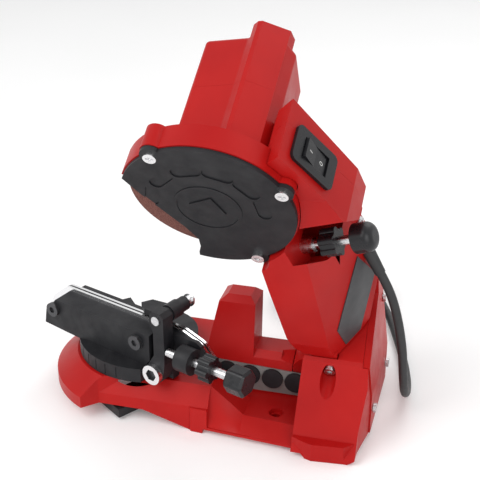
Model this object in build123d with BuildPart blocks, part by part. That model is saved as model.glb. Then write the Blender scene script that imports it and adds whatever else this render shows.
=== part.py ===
"""Electric chainsaw sharpener: a bench base with a turning chain vise and a swinging grinding head.

Millimetres. The origin lies on the bench, midway between the two bench bolt holes. +Z is up, +X is
the operator's side and +Y is the rear. The head swings in a plane that leans by the grinding tilt,
so its pieces are drawn in that plane: y runs along +Y, v up the leaning plane, and c across it,
along the wheel's axis. The vise has its own frame: o out from the turntable axis through the
chain, t along the chain rails, and z up.
"""
import math
import os

from build123d import *

os.makedirs("parts", exist_ok=True)

# Bench base
bolt_spacing = 74.0
bolt_hole_r = 3.25
bolt_recess_r = 5.2
bolt_recess_depth = 3.0
deck_top = 33.5
deck_half = 54.5
deck_front_y = -129.5
deck_ramp_y = (-46.0, -22.0)
arch_y = (-95.0, -59.5)
arch_z = 11.0
rim_z = 20.0
flank_rise = 10.0
well_top = 13.5
well_half = 43.0
skirt_lift = 3.5
skirt_half = (56.0, 62.0)
foot_half = 68.0
front_foot_end = -49.5
rear_foot_y = (27.0, 57.0)
block_y = (17.0, 62.0)
wall = 4.0
platform_half = 13.0
platform_front = -57.0
platform_top = 47.0
tower_front = (-57.5, -48.0)
tower_rear = (-23.0, -22.0)
tower_top = 89.0
tower_top_half = 11.5
tower_chamfer = 4.5
strip_y = (-53.0, 16.7)
strip_z = (15.0, 37.0)
strip_fall = 3.2
strip_thick = 1.0
trough_width = 11.0
disc_r = 7.8
disc_pitch = 17.0
disc_z = 28.5
disc_thick = 1.6
foot_pad_r = 4.0
foot_pad_thick = 2.0
waist = (30.0, 57.0)
cheek_foot = 66.0
far_cheek_top = 98.0
far_cheek_half = (44.0, 58.0)
parting_v = 65.0
groove_x = 30.0
rear_cover_thick = 5.0
rear_lean_z = 34.0
rear_lean = 7.5
anchor_y = 36.5
anchor_v = 58.7
anchor_c = 38.0
anchor_r = 5.5

# Turntable and vise
drum_y = -104.5
drum_r = 55.0
drum_core_r = 34.0
drum_arc = (-142.0, -95.0, -50.0, -5.0, 40.0)
drum_height = 11.0
sector_r = 73.0
sector_half_angle = 62.0
axle_boss_r = 14.0
axle_r = 6.0
axle_head_r = 11.0
vise_angle = -21.0
jaw_face = 41.0
jaw_shoulder = 70.0
jaw_top = 72.5
jaw_t = (-72.0, 31.5)
jaw_foot_t = -40.0
lug_t = (28.0, 70.0)
lug_face = 31.0
lug_block_o = 24.0
rail_slot = 1.5
rail_slot_o = 25.0
rail_thick = 2.0
rail_top = 75.5
rail_height = 18.0
rail_t = (-76.0, 77.0)
rail_bend = ((-26.0, 0.0), (-9.0, -5.5), (0.0, -15.0))
far_jaw_thick = 8.0
jaw_screw_t = (-61.0, 20.0)
jaw_screw_z = 62.0
jaw_screw_r = 3.0
lever_t = (34.0, 46.0)
lever_o = (31.4, 42.0)
lever_pivot = (36.5, 42.5)
lever_eye_r = 8.0
bolt_head_r = 7.6
bolt_socket_r = 4.6
bolt_shank_r = 4.0
stop_tube_z = 86.0
stop_tube_t = 39.5
stop_tube_r = 5.3
stop_tube_o = 10.0
stop_pin_r = 3.4
stop_pin_o = 2.5
circlip_r = 4.9
circlip_thick = 0.9
pawl_hub_r = 6.3
pawl_o = (18.0, 29.0)
pawl_z = 78.5
adjust_o = 38.5
adjust_z = 61.5
adjust_r = 3.2
adjust_t = (46.6, 105.0)
adjust_knob_t = (101.0, 116.0)
adjust_block_t = (58.0, 70.0)
adjust_block_r = 9.5
adjust_grip_r = 9.6
adjust_nut_t = (77.5, 87.0)
knob_r = 11.0
star_lobes = 6

# Angle lock lever
lock_hub_r = 13.0
lock_z = (2.0, 9.0)
lock_corner = (57.0, -112.5)
lock_width = 24.0
lock_direction = 53.0
lock_reach = 32.0
lock_screw_r = 4.0

# Swinging head
tilt = 30.0
head_offset = 39.25
pivot_y = 31.5
pivot_v = 38.0
pivot_r = 5.0
pivot_c = (-34.0, 44.0)
upright_c = (-24.8, 33.0)
upright_split = -21.0
shell_screws = ((30.0, 75.0), (50.0, 150.0), (10.0, 158.0))
socket_r = 25.0
socket_gap = 0.6
neck_half = 9.2
bush_r = 8.0
bush_length = 8.0
wheel_y = -36.3
wheel_v = 201.6
wheel_r = 54.0
wheel_thick = 3.2
wheel_c = 1.5
wheel_bore_r = 11.5
guard_r = 57.5
guard_wall = 2.2
guard_c = (-6.4, 10.0)
guard_floor = 2.5
cover_thick = 3.0
ear_reach = 55.0
ear_r = 7.5
ear_boss = 5.8
ear_angles = (25.0, 121.0, 299.0)
ear_screw_r = 2.0
ear_head_r = 4.2
motor_split = -58.0
motor_end = -101.0
motor_round = 3.0
motor_fillet = 4.0
cap_screw_places = ((14.0, 33.0), (-23.0, -23.0), (23.0, -21.0))
motor_left = ((-16.0, -34.0), (-30.0, -24.0), (-34.0, -8.0), (-32.0, 4.0), (-24.0, 30.5), (5.0, 36.5))
spine = ((10.0, 41.0), (13.0, 41.5), (31.0, 34.0))
motor_right = ((36.0, 24.0), (36.0, -10.0), (33.0, -18.0), (18.0, -36.0))
spine_end = -110.0
stator_r = 27.5
stator_bore_r = 17.6
stator_c = (-74.0, -32.0)
rotor_r = 17.0
shaft_r = 5.0
bearing_r = 13.0
bearing_width = 8.0
front_bearing_c = -22.0
front_wall_c = -11.4
rear_bearing_c = -90.0
flange_r = 17.0
flange_thick = 3.0
nut_r = 8.0
bezel_angle = -56.0
bezel_centre = (27.3, 228.8)
bezel_c = (-26.0, 0.0)
bezel_length = 38.0
bezel_proud = 2.2
rocker_c = (-20.0, -6.0)
rocker_length = 22.0
rocker_swing = 9.0
screw_line = (19.5, 150.0)
screw_angle = 24.0
screw_c = -2.0
recess_u = -3.0
recess_opening = (0.868, 0.233, 0.438)
screw_r = 3.2
screw_tip = -29.0
screw_seat_r = 5.0
screw_nut_u = (13.0, 24.0)
screw_knob_u = (36.0, 50.0)
plate_thick = 0.8

# Cord
cord_r = 3.2
cord_exit = (10.0, 55.0, 139.0)
cord_slope = -60.0
gland_r = 4.6
gland_depth = 8.0
gland_tail = 20.0
gland_tip_r = 3.8
boss_r = 7.5
boss_depth = 22.0
cord_gap = 0.3
cord_drop = (
    (10, 72, 109.6), (10, 78.4, 90.6), (10, 83.5, 66), (10, 85.5, 44), (3.8, 86.3, 27.1), (-8.9, 86.6, 14.4),
    (-25.8, 86.2, 8.2), (-46, 83.5, 4.6), (-70, 78.5, 3.25), (-96, 71, 3.4))
coil_centre = (-160.0, 0.0)
coil_mid_r = 38.4
coil_layers = 3
coil_lift = 1.2
coil_entry = 118.0
coil_leave = 160.0
lead_in = 38.0
tie_thick = 1.1
tie_arc = 14.0
plug_z = 7.6
plug_lead = 22.0
plug_neck = 20.0
plug_body = (30.0, 13.4, 20.0)
plug_pin_r = 2.4
plug_pin_length = 19.0
plug_pin_half = 9.5

# Fits
running = 0.05
fit_gap = 0.02
seam_gap = 0.1
moving_gap = 0.4
seat_gap = 0.15

NORMAL = Vector(math.cos(math.radians(tilt)), 0, -math.sin(math.radians(tilt)))
RISE = Vector(math.sin(math.radians(tilt)), 0, math.cos(math.radians(tilt)))
OUT = Vector(math.cos(math.radians(vise_angle)), math.sin(math.radians(vise_angle)), 0)
ALONG = Vector(-OUT.Y, OUT.X, 0)
DRUM = Vector(0, drum_y, 0)


def head_plane(c):
    """Sketch plane across the wheel axis: local x is y, local y is v."""
    return Plane(origin=NORMAL * (c - head_offset), x_dir=(0, 1, 0), z_dir=NORMAL)


def head_point(y, v, c):
    return NORMAL * (c - head_offset) + RISE * v + Vector(0, y, 0)


def vise_level(z):
    """Horizontal sketch plane of the vise: local x is o, local y is t."""
    return Plane(origin=DRUM + Vector(0, 0, z), x_dir=OUT, z_dir=(0, 0, 1))


def vise_side(o):
    """Upright sketch plane along the rails: local x is t, local y is z."""
    return Plane(origin=DRUM + OUT * o, x_dir=ALONG, z_dir=OUT)


def vise_cross(t, o=0.0, z=0.0):
    """Sketch plane across the rails, for what turns about a line along them."""
    return Plane(origin=DRUM + ALONG * t + OUT * o + Vector(0, 0, z), x_dir=OUT * -1, z_dir=ALONG)


def vise_point(o, t, z):
    return DRUM + OUT * o + ALONG * t + Vector(0, 0, z)


def polar(r, degrees):
    return r * math.cos(math.radians(degrees)), r * math.sin(math.radians(degrees))


def save(builder, name):
    builder.part.label = name
    export_step(builder.part, f"parts/{name}.step")


def prism(plane, points, amount, mode=Mode.ADD, both=False):
    """Add or cut a straight prism over a polygon."""
    with BuildSketch(plane) as profile:
        Polygon(*points, align=None)
    extrude(profile.sketch, amount=amount, both=both, mode=mode)


def disc(plane, r, amount, mode=Mode.ADD, bore=0.0):
    """Add or cut a round disc, ring or shaft that starts on a plane."""
    with BuildSketch(plane) as profile:
        Circle(r)
        if bore:
            Circle(bore, mode=Mode.SUBTRACT)
    extrude(profile.sketch, amount=amount, mode=mode)


def spin(origin, axis, points, mode=Mode.ADD):
    """Turn a polygon of (radius, height) about an axis through a point."""
    side = Vector(0, 1, 0) - axis * axis.Y
    with BuildSketch(Plane(origin=origin, x_dir=side, z_dir=side.cross(axis))) as profile:
        Polygon(*points, align=None)
    revolve(profile.sketch, axis=Axis(origin, axis), mode=mode)


def star(plane, r, amount, bore):
    """A lobed hand wheel: round lobes about a core, with a bore."""
    with BuildSketch(plane) as profile:
        Circle(r * 0.8)
        with PolarLocations(r * 0.74, star_lobes):
            Circle(r * 0.26)
        Circle(bore, mode=Mode.SUBTRACT)
    extrude(profile.sketch, amount=amount)


def head_axis(y, v, c):
    """Sketch plane centred on a line along the wheel's axis."""
    return Plane(origin=head_point(y, v, c), x_dir=(0, 1, 0), z_dir=NORMAL)


def wheel_plane(c):
    return head_axis(wheel_y, wheel_v, c)


def motor_outline(c, grow=0.0):
    """Cross-section of the motor: a rounded drum with flats, and the raised spine at its top right."""
    with BuildSketch(wheel_plane(c)) as profile:
        Polygon(*motor_left, *spine, *motor_right, align=None)
        fillet(profile.vertices(), motor_round)
        if grow:
            offset(amount=grow)
    return profile.sketch


# ---------------------------------------------------------------- bench base
sector_end = polar(sector_r, sector_half_angle - 90)
plan_right = [
    (deck_half, deck_front_y),
    (deck_half, arch_y[1]),
    (skirt_half[0], arch_y[1] + 1),
    (skirt_half[1], block_y[0]),
    (cheek_foot, rear_foot_y[0] - 1),
    (foot_half, rear_foot_y[0] + 5),
    (cheek_foot, rear_foot_y[1] - 3),
    (cheek_foot - 7, block_y[1] - 1),
    (groove_x + 20, block_y[1]),
]
plan_left = [(-x, y) for x, y in reversed(plan_right)]
side_profile = [
    (deck_front_y, arch_z),
    (arch_y[0], arch_z),
    (arch_y[1], 0),
    (front_foot_end, 0),
    (front_foot_end, skirt_lift),
    (rear_foot_y[0] - 3, skirt_lift),
    (rear_foot_y[0], 0),
    (rear_foot_y[1], 0),
    (block_y[1], skirt_lift),
    (block_y[1], well_top),
    (deck_ramp_y[1], well_top),
    (deck_ramp_y[0], deck_top),
    (deck_front_y, deck_top),
]
parting_far = head_point(0, parting_v, upright_c[0] - socket_gap)
parting_near = head_point(0, parting_v, upright_c[1] + socket_gap)
block_front = [
    (-cheek_foot, 0),
    (cheek_foot, 0),
    (cheek_foot, skirt_lift),
    waist,
    (parting_near.X, parting_near.Z),
    (parting_far.X, parting_far.Z),
    (parting_far.X - 4, far_cheek_top),
    (-far_cheek_half[0], far_cheek_top),
    (-far_cheek_half[1], deck_top),
    (-cheek_foot, skirt_lift),
]
near_rear = block_y[1] + rear_cover_thick - 1
block_side = [
    (block_y[0], skirt_lift),
    (rear_foot_y[0] - 3, skirt_lift),
    (rear_foot_y[0], 0),
    (rear_foot_y[1], 0),
    (block_y[1], skirt_lift),
    (near_rear, skirt_lift),
    (near_rear, rear_lean_z),
    (near_rear - rear_lean, far_cheek_top),
    (block_y[0] + 8, far_cheek_top),
    (block_y[0], waist[1]),
]
cover_seat = [
    (block_y[1], -1),
    (block_y[1], rear_lean_z),
    (block_y[1] - rear_lean, far_cheek_top),
    (block_y[1] - rear_lean, far_cheek_top + 4),
    (foot_half + 10, far_cheek_top + 4),
    (foot_half + 10, -1),
]
cover_profile = [
    (block_y[1] + seat_gap, skirt_lift),
    (block_y[1] + seat_gap, rear_lean_z),
    (block_y[1] - rear_lean + seat_gap, far_cheek_top),
    (block_y[1] - rear_lean + rear_cover_thick, far_cheek_top),
    (block_y[1] + rear_cover_thick, rear_lean_z),
    (block_y[1] + rear_cover_thick, skirt_lift),
]
cover_front = [
    (2 - far_cheek_half[0] - 4, skirt_lift),
    (groove_x - socket_gap / 2, skirt_lift),
    (groove_x - socket_gap / 2, parting_near.Z - 2),
    (parting_far.X, parting_far.Z - 1),
    (parting_far.X - 4, far_cheek_top - 1),
    (2 - far_cheek_half[0], far_cheek_top - 1),
    (2 - far_cheek_half[0] - 4, deck_top),
]
foot_places = [(side * x, y) for side in (-1, 1) for x, y in ((47.0, -54.5), (57.0, 42.0))]
bolt_places = [(side * bolt_spacing / 2, 0) for side in (-1, 1)]
cover_screws = [(-40, 20), (22, 20), (-40, 76)]

with BuildPart() as rear_block:
    prism(Plane.XZ.offset(-near_rear), block_front, near_rear - block_y[0])
    prism(Plane.YZ, block_side, foot_half * 2, Mode.INTERSECT, both=True)
    prism(Plane.YZ.offset(groove_x + socket_gap / 2), cover_seat, -foot_half * 2, Mode.SUBTRACT)
    prism(Plane.XY, [(groove_x, near_rear), (groove_x + 25, block_y[1]), (foot_half, block_y[1]),
                     (foot_half, near_rear + 2), (groove_x, near_rear + 2)], far_cheek_top, Mode.SUBTRACT)

with BuildPart() as front_sector:
    with BuildSketch(Plane.XY.offset(arch_z)):
        with BuildLine():
            ThreePointArc(
                (-sector_end[0], drum_y + sector_end[1]),
                (0, drum_y - sector_r),
                (sector_end[0], drum_y + sector_end[1]))
            Polyline(
                (sector_end[0], drum_y + sector_end[1]),
                (deck_half, deck_front_y + 1),
                (deck_half - flank_rise, drum_y),
                (flank_rise - deck_half, drum_y),
                (-deck_half, deck_front_y + 1),
                (-sector_end[0], drum_y + sector_end[1]))
        make_face()
    extrude(amount=deck_top - arch_z)
    spin(DRUM, Vector(0, 0, 1), [
        (drum_r + 2, deck_top + 2), (drum_r + 2, deck_top), (sector_r, rim_z),
        (sector_r + 20, rim_z), (sector_r + 20, deck_top + 2)], Mode.SUBTRACT)

def tower_section(z, inset=0.0):
    """Corners of the stop tower's section at a height."""
    rise = (z - platform_top) / (tower_top - platform_top)
    half = platform_half + rise * (tower_top_half - platform_half) - inset
    front = tower_front[0] + rise * (tower_front[1] - tower_front[0]) + inset
    rear = tower_rear[0] + rise * (tower_rear[1] - tower_rear[0]) - inset
    return [(-half, front), (half, front), (half, rear), (-half, rear)]


with BuildPart() as tower:
    for low, high, inset in (
            (platform_top - 6, tower_top - tower_chamfer, 0),
            (tower_top - tower_chamfer, tower_top, tower_chamfer)):
        with BuildSketch(Plane.XY.offset(low)):
            Polygon(*tower_section(low), align=None)
        with BuildSketch(Plane.XY.offset(high)):
            Polygon(*tower_section(high, inset), align=None)
        loft()

with BuildPart() as base_housing:
    prism(Plane.XY, plan_right + plan_left, deck_top)
    prism(Plane.YZ, side_profile, foot_half * 2, Mode.INTERSECT, both=True)
    # flanks that fall from the deck and from the well to the skirt
    for side in (-1, 1):
        prism(
            Plane.XZ.offset(-deck_ramp_y[0]),
            [(side * (deck_half + 5), rim_z), (side * deck_half, rim_z),
             (side * (deck_half - flank_rise), deck_top + 1), (side * (deck_half + 5), deck_top + 1)],
            deck_ramp_y[0] - deck_front_y + 1, Mode.SUBTRACT)
        steps = (
            (deck_ramp_y[0], skirt_half[0], deck_half - flank_rise, deck_top + 1),
            (deck_ramp_y[1], skirt_half[0] + 2, well_half + 1, well_top + 1),
            (block_y[0], skirt_half[1], well_half + 4, well_top + 1))
        for start, end in zip(steps, steps[1:]):
            for y, low, high, top in (start, end):
                with BuildSketch(Plane.XZ.offset(-y)):
                    Polygon((side * 80, skirt_lift + 2), (side * low, skirt_lift + 2),
                            (side * high, top), (side * 80, top), align=None)
            loft(mode=Mode.SUBTRACT)
    add(front_sector.part)
    # centre platform, stop tower and rear block
    prism(Plane.XZ.offset(-block_y[0]),
          [(-platform_half, skirt_lift), (platform_half, skirt_lift),
           (platform_half, platform_top - 5), (platform_half - 4, platform_top),
           (4 - platform_half, platform_top), (-platform_half, platform_top - 5)],
          block_y[0] - platform_front)
    add(tower.part)
    add(rear_block.part)
    # hollows under the deck, the well, the platform, the tower and the block
    disc(Plane(origin=DRUM), drum_r - 5, deck_top - wall, Mode.SUBTRACT)
    disc(Plane(origin=DRUM + Vector(0, 0, arch_z)), axle_boss_r, deck_top - arch_z)
    disc(Plane(origin=DRUM), axle_r + running, deck_top + 1, Mode.SUBTRACT)
    prism(Plane.XY, [(-well_half - 1, -44), (well_half + 1, -44), (well_half + 1, 14), (-well_half - 1, 14)],
          well_top - wall, Mode.SUBTRACT)
    prism(Plane.XY, [(-9, -20), (9, -20), (9, 2), (-9, 2)], platform_top - wall, Mode.SUBTRACT)
    prism(Plane.XY, [(-8, -44), (8, -44), (8, -27), (-8, -27)], tower_top - 5, Mode.SUBTRACT)
    prism(Plane.XY, [(-50, 22), (44, 22), (44, 57), (-50, 57)], skirt_lift + 5.5, Mode.SUBTRACT)
    for x, y in bolt_places:
        disc(Plane((x, y, 0)), 9, well_top)
        disc(Plane((x, y, -1)), bolt_hole_r, well_top + 2, Mode.SUBTRACT)
        disc(Plane((x, y, well_top - bolt_recess_depth)), bolt_recess_r, 10, Mode.SUBTRACT)
    for x, y in foot_places:
        disc(Plane((x, y, 0)), foot_pad_r, foot_pad_thick, Mode.SUBTRACT)
    # trough along the platform, where the indicator strip stands
    prism(Plane.XY.offset(well_top), [
        (platform_half, strip_y[0] - seat_gap), (platform_half + trough_width, strip_y[0] - seat_gap),
        (platform_half + trough_width, block_y[0] - seat_gap), (platform_half, block_y[0] - seat_gap)],
        deck_top, Mode.SUBTRACT)
    # socket of the swinging upright: a round seat, and the sector its front corner sweeps
    with BuildSketch(head_plane(upright_c[0] - socket_gap)):
        with Locations((pivot_y, pivot_v)):
            Circle(socket_r + socket_gap)
        sweep_r = [polar(34.5, angle) for angle in range(90, 172, 9)]
        Polygon((pivot_y, pivot_v), *[(pivot_y + y, pivot_v + v) for y, v in sweep_r], align=None)
        Polygon((pivot_y - neck_half - 0.8, pivot_v), (pivot_y + neck_half + 0.8, pivot_v),
                (pivot_y + neck_half + 0.8, pivot_v + 44), (pivot_y - neck_half - 0.8, pivot_v + 44),
                align=None)
    extrude(amount=upright_c[1] - upright_c[0] + 2 * socket_gap, mode=Mode.SUBTRACT)
    # pivot pin bore, open at the far cheek and blind in the near one; recess of the anchor screw
    disc(head_axis(pivot_y, pivot_v, pivot_c[0] - 30), pivot_r + fit_gap,
         pivot_c[1] - pivot_c[0] + 30 + fit_gap, Mode.SUBTRACT)
    disc(head_axis(anchor_y, anchor_v, anchor_c), anchor_r, 30, Mode.SUBTRACT)
    disc(head_axis(anchor_y, anchor_v, anchor_c - 3.5), 2 + fit_gap, 10, Mode.SUBTRACT)
    # screw holes behind the rear cover, and the pockets of the discs and the cord
    for x, z in cover_screws:
        disc(Plane(origin=(x, block_y[1] + 2, z), x_dir=(1, 0, 0), z_dir=(0, -1, 0)), 1.7 + fit_gap, 18,
             Mode.SUBTRACT)
save(base_housing, "base_housing")

with BuildPart() as base_rear_cover:
    prism(Plane.YZ, cover_profile, foot_half * 2, both=True)
    prism(Plane.XZ.offset(-foot_half - 10), cover_front, foot_half, Mode.INTERSECT)
    for x, z in cover_screws:
        disc(Plane(origin=(x, block_y[1] + 12, z), x_dir=(1, 0, 0), z_dir=(0, -1, 0)), 1.7 + fit_gap, 30,
             Mode.SUBTRACT)
save(base_rear_cover, "base_rear_cover")

with BuildPart() as rear_cover_screws:
    for x, z in cover_screws:
        lean = max(0, z - rear_lean_z) * rear_lean / (far_cheek_top - rear_lean_z)
        head_y = block_y[1] + rear_cover_thick - lean + 0.5
        disc(Plane(origin=(x, head_y + 2, z), x_dir=(1, 0, 0), z_dir=(0, -1, 0)), 3.4, 2)
        disc(Plane(origin=(x, head_y + 0.1, z), x_dir=(1, 0, 0), z_dir=(0, -1, 0)), 1.7, 13)
save(rear_cover_screws, "rear_cover_screws")

with BuildPart() as indicator_strip:
    prism(Plane.YZ.offset(platform_half), [
        (strip_y[0], strip_z[0]), (strip_y[1], strip_z[0]), (strip_y[1], strip_z[1] - strip_fall),
        (strip_y[0], strip_z[1])], strip_thick)
save(indicator_strip, "indicator_strip")

with BuildPart() as indicator_discs:
    for step in range(4):
        along_y = strip_y[0] + 10.8 + step * disc_pitch
        height = disc_z - step * strip_fall / 4
        disc(Plane(origin=(platform_half + strip_thick, along_y, height),
                   x_dir=(0, 1, 0), z_dir=(1, 0, 0)), disc_r, disc_thick)
save(indicator_discs, "indicator_discs")

with BuildPart() as foot_pads:
    for x, y in foot_places:
        disc(Plane((x, y, 0)), foot_pad_r - 0.02, foot_pad_thick)
save(foot_pads, "foot_pads")

with BuildPart() as pivot_pin:
    disc(head_axis(pivot_y, pivot_v, pivot_c[0]), pivot_r, pivot_c[1] - pivot_c[0])
save(pivot_pin, "pivot_pin")

with BuildPart() as anchor_screw:
    disc(head_axis(anchor_y, anchor_v, anchor_c), 4, 3)
    disc(head_axis(anchor_y, anchor_v, anchor_c - 3.2), 2, 4)
    disc(head_axis(anchor_y, anchor_v, anchor_c + 1.6), 1.8, 3, Mode.SUBTRACT)
save(anchor_screw, "anchor_screw")

spring_wire = 1.1
spring_r = pivot_r + spring_wire + 0.03
spring_c = (-10.0, 16.0)
with BuildLine() as spring_line:
    Helix(pitch=2.6, height=spring_c[1] - spring_c[0], radius=spring_r,
          center=head_point(pivot_y, pivot_v, spring_c[0]), direction=NORMAL)
with BuildPart() as return_spring:
    with BuildSketch(Plane(origin=spring_line.line @ 0, z_dir=spring_line.line % 0)):
        Circle(spring_wire)
    sweep(path=spring_line.line, is_frenet=True)
save(return_spring, "return_spring")

# ---------------------------------------------------------------- turntable and vise
table_z = deck_top + moving_gap
table_top = table_z + drum_height
slot_far = rail_slot_o - rail_slot / 2 - rail_thick
slot_near = rail_slot_o + rail_slot / 2 + rail_thick
eye_t, eye_z = lever_pivot
wedge = [polar(drum_r + 30, angle) for angle in drum_arc]

with BuildPart() as turntable:
    with BuildSketch(Plane(origin=DRUM + Vector(0, 0, table_z))):
        Circle(drum_r)
        Polygon((0, 0), *wedge, align=None, mode=Mode.INTERSECT)
        Circle(drum_core_r)
    extrude(amount=drum_height)
    # room for the stop lever's eye, and the bore of the axle
    prism(vise_level(table_z - 1), [
        (lug_block_o - seat_gap, lug_t[0] - seat_gap), (drum_r + 10, lug_t[0] - seat_gap),
        (drum_r + 10, lug_t[0] + 30), (lug_block_o - seat_gap, lug_t[0] + 30)], 30, Mode.SUBTRACT)
    disc(Plane(origin=DRUM + Vector(0, 0, table_z)), axle_r + fit_gap, 6, Mode.SUBTRACT)
    # thirteen angle marks cut in the rim
    for step in range(13):
        with Locations(Plane(origin=DRUM + Vector(0, 0, table_z)).rotated((0, 0, -130 + step * 10))):
            with Locations((drum_r, 0, drum_height / 2)):
                Box(0.8, 0.8, drum_height - 3, mode=Mode.SUBTRACT)
save(turntable, "turntable")

lock_z0, lock_z1 = lock_z
with BuildPart() as vise_axle:
    disc(Plane(origin=DRUM + Vector(0, 0, lock_z1 + moving_gap)), axle_r, table_z + 6 - lock_z1 - moving_gap)
    disc(Plane(origin=DRUM + Vector(0, 0, lock_z1)), lock_screw_r + fit_gap, 18, Mode.SUBTRACT)
save(vise_axle, "vise_axle")

with BuildPart() as axle_washer:
    disc(Plane(origin=DRUM + Vector(0, 0, lock_z1 + moving_gap)), axle_head_r, 1.2, bore=axle_r + fit_gap)
save(axle_washer, "axle_washer")

jaw_section = [
    (-slot_far, table_top), (-jaw_face, table_top), (-jaw_face, jaw_shoulder), (-slot_near, jaw_top),
    (-slot_near, rail_top - rail_height), (-slot_far, rail_top - rail_height)]
jaw_outline = [
    (jaw_t[0], table_top + 2), (jaw_t[0] + 2, 59), (jaw_t[0] + 16, jaw_top + 1), (jaw_t[1], jaw_top + 1),
    (jaw_t[1], table_top), (jaw_foot_t, table_top)]
with BuildPart() as vise_body:
    prism(vise_cross(jaw_t[0]), jaw_section, jaw_t[1] - jaw_t[0])
    prism(vise_side(0), jaw_outline, jaw_face + 5, Mode.INTERSECT)
    # lug behind the stop lever, the threaded block of the adjusting screw, and the bolt's boss
    prism(vise_side(slot_near), [
        (jaw_t[1] - 2, 50), (lug_t[1], 56), (lug_t[1], jaw_shoulder), (lug_t[1] - 4, jaw_top),
        (jaw_t[1] - 2, jaw_top)], lug_face - slot_near)
    prism(vise_side(lug_block_o), [
        (lug_t[0], table_z + 0.7), (eye_t + 8, table_z + 0.7), (eye_t + 8, 56), (lug_t[0], 56)],
        lug_face - lug_block_o)
    with BuildSketch(vise_cross(adjust_block_t[0])):
        with Locations((-adjust_o, adjust_z)):
            Circle(adjust_block_r)
        Polygon((-slot_near, 48), (-adjust_o - 20, 48), (-adjust_o - 20, 80), (-slot_near, 80), align=None,
                mode=Mode.INTERSECT)
    extrude(amount=adjust_block_t[1] - adjust_block_t[0])
    disc(vise_cross(adjust_block_t[0] - 1, adjust_o, adjust_z), adjust_r + running, 20, Mode.SUBTRACT)
    with BuildSketch(vise_side(lug_face)):
        with Locations(lever_pivot):
            Circle(lever_eye_r + 0.8)
    extrude(amount=20, mode=Mode.SUBTRACT)
    with BuildSketch(vise_side(lug_block_o + 1)):
        with Locations(lever_pivot):
            Circle(bolt_shank_r + fit_gap)
    extrude(amount=20, mode=Mode.SUBTRACT)
    for t in jaw_screw_t:
        disc(Plane(origin=vise_point(slot_far - 1, t, jaw_screw_z), x_dir=ALONG, z_dir=OUT),
             jaw_screw_r + fit_gap, 40, Mode.SUBTRACT)
save(vise_body, "vise_body")

with BuildPart() as far_jaw:
    prism(vise_side(slot_far), [
        (-66, table_top + 2), (-66, 62), (-54, rail_top - 3), (26, rail_top - 3), (30, 66), (30, table_top),
        (jaw_foot_t, table_top)], -far_jaw_thick)
    for t in jaw_screw_t:
        disc(Plane(origin=vise_point(slot_far, t, jaw_screw_z), x_dir=ALONG, z_dir=OUT * -1),
             jaw_screw_r + fit_gap, 6, Mode.SUBTRACT)
save(far_jaw, "far_jaw")

for name, start in (("far_rail", slot_far), ("near_rail", slot_near - rail_thick)):
    with BuildPart() as rail:
        with BuildSketch(vise_side(start)):
            Polygon((rail_t[0], rail_top - rail_height), (rail_t[0], 62), (rail_t[0] + 16, rail_top),
                    *[(rail_t[1] + t, rail_top + z) for t, z in rail_bend],
                    (rail_t[1] - 6, rail_top - rail_height), align=None)
            high = vertices().sort_by(Axis.Y)[-4:]
            fillet(high, radius=9)
        extrude(amount=rail_thick)
        for t in jaw_screw_t:
            disc(Plane(origin=vise_point(start - 1, t, jaw_screw_z), x_dir=ALONG, z_dir=OUT),
                 jaw_screw_r + fit_gap, rail_thick + 2, Mode.SUBTRACT)
    save(rail, name)

with BuildPart() as jaw_screws:
    for t in jaw_screw_t:
        disc(Plane(origin=vise_point(slot_far - 5.5, t, jaw_screw_z), x_dir=ALONG, z_dir=OUT),
             jaw_screw_r, jaw_face - slot_far + 6)
        disc(Plane(origin=vise_point(jaw_face, t, jaw_screw_z), x_dir=ALONG, z_dir=OUT), 5.5, 3)
        with BuildSketch(Plane(origin=vise_point(jaw_face + 1.4, t, jaw_screw_z), x_dir=ALONG, z_dir=OUT)):
            RegularPolygon(2.6, 6)
        extrude(amount=3, mode=Mode.SUBTRACT)
save(jaw_screws, "jaw_screws")

with BuildPart() as lever_bolt:
    with BuildSketch(vise_side(lug_block_o + 1)):
        with Locations(lever_pivot):
            Circle(bolt_shank_r)
    extrude(amount=lever_o[1] + 0.2 - lug_block_o - 1)
    with BuildSketch(vise_side(lever_o[1] + 0.2)):
        with Locations(lever_pivot):
            Circle(bolt_head_r)
    extrude(amount=4)
    with BuildSketch(vise_side(lever_o[1] + 1.8)):
        with Locations(lever_pivot):
            RegularPolygon(bolt_socket_r, 6)
    extrude(amount=4, mode=Mode.SUBTRACT)
save(lever_bolt, "lever_bolt")

with BuildPart() as stop_lever:
    with BuildSketch(vise_side(lever_o[0])):
        with Locations(lever_pivot):
            Circle(lever_eye_r)
        Polygon((eye_t - 7, eye_z + 3), (lever_t[0] + 2.5, 57), (lever_t[0] + 2.5, 76),
                (lever_t[0] - 0.5, 82),
                (lever_t[0] - 0.5, 89), (lever_t[0] + 2, 92), (lever_t[1] - 3, 92), (lever_t[1], 89),
                (lever_t[1], 52), (eye_t + 8, eye_z), align=None)
        with Locations(lever_pivot):
            Circle(bolt_shank_r + running, mode=Mode.SUBTRACT)
    extrude(amount=lever_o[1] - lever_o[0])
    with BuildSketch(vise_side(stop_tube_o)):
        with Locations((stop_tube_t, stop_tube_z)):
            Circle(stop_tube_r)
    extrude(amount=lever_o[0] - stop_tube_o)
    with BuildSketch(vise_side(stop_tube_o - 1)):
        with Locations((stop_tube_t, stop_tube_z)):
            Circle(stop_pin_r + fit_gap)
    extrude(amount=lever_o[1] - stop_tube_o + 2, mode=Mode.SUBTRACT)
save(stop_lever, "stop_lever")

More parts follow.
